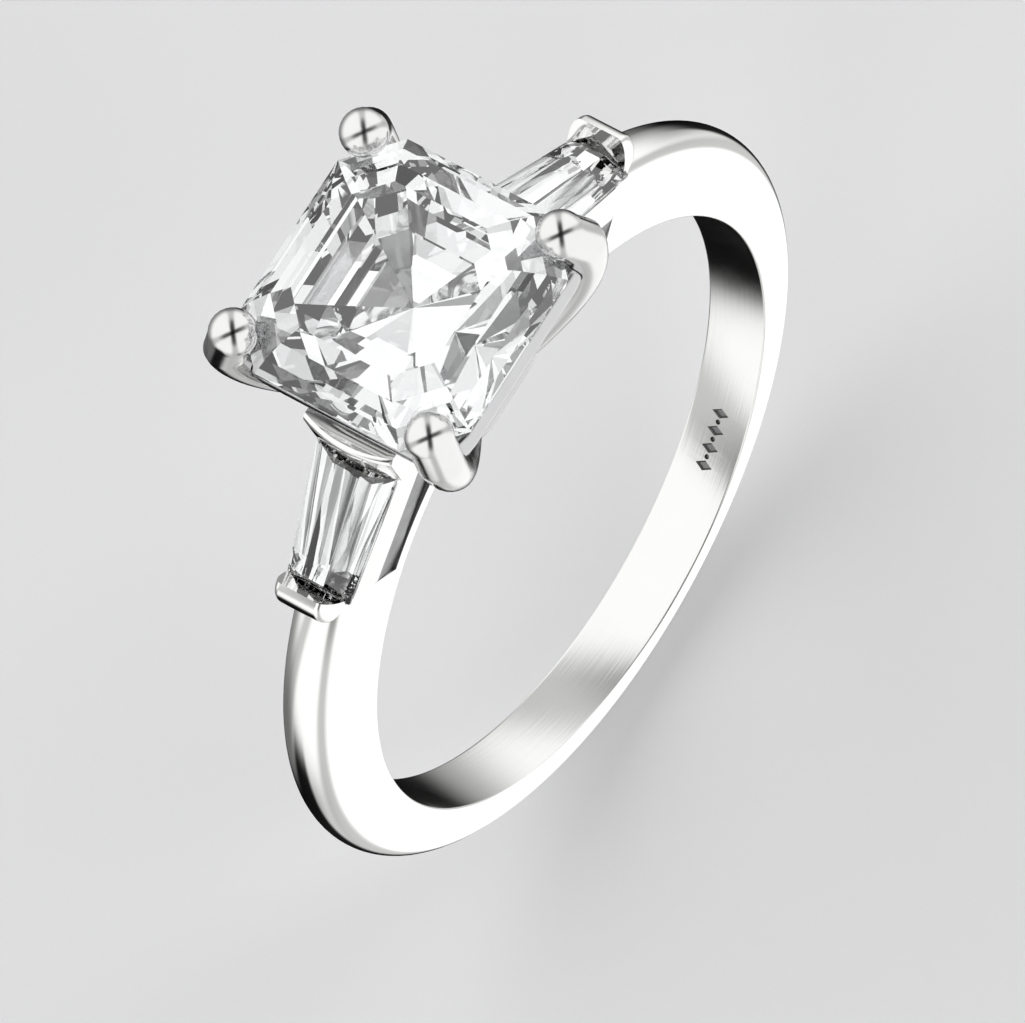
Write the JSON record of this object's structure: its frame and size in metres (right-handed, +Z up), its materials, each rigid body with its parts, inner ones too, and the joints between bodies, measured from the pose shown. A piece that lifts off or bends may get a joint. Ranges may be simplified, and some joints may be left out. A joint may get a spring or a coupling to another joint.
{
  "type": "engagement ring",
  "caption": "Three-stone ring: step-cut square stone in a claw basket, a tapered baguette on each shoulder, half-round band.",
  "frame": {"origin": "middle of the finger hole, half way across the band", "axes": "+Z up to the centre stone, +Y along the finger towards the back face, +X towards the right-hand side stone"},
  "size_m": [0.0212, 0.008, 0.0255],
  "materials": {
    "band_metal": "mirror-polished white silver, rhodium plated",
    "head_metal": "mirror-polished white silver, rhodium plated",
    "shoulder_metal": "mirror-polished white silver, rhodium plated",
    "centre_stone": "colourless polished step-cut facets",
    "side_stone": "colourless polished step-cut facets"
  },
  "bodies": {
    "root": {"shank": "band_metal", "base_rail": "head_metal", "gallery_rail": "head_metal", "claw_front_left": "head_metal", "claw_front_right": "head_metal", "claw_back_left": "head_metal", "claw_back_right": "head_metal", "side_collet_left": "shoulder_metal", "side_collet_right": "shoulder_metal", "inner_end_bar_left": "shoulder_metal", "inner_end_bar_right": "shoulder_metal", "outer_end_bar_left": "shoulder_metal", "outer_end_bar_right": "shoulder_metal", "centre_stone": "centre_stone", "side_stone_left": "side_stone", "side_stone_right": "side_stone"}
  },
  "joints": []
}
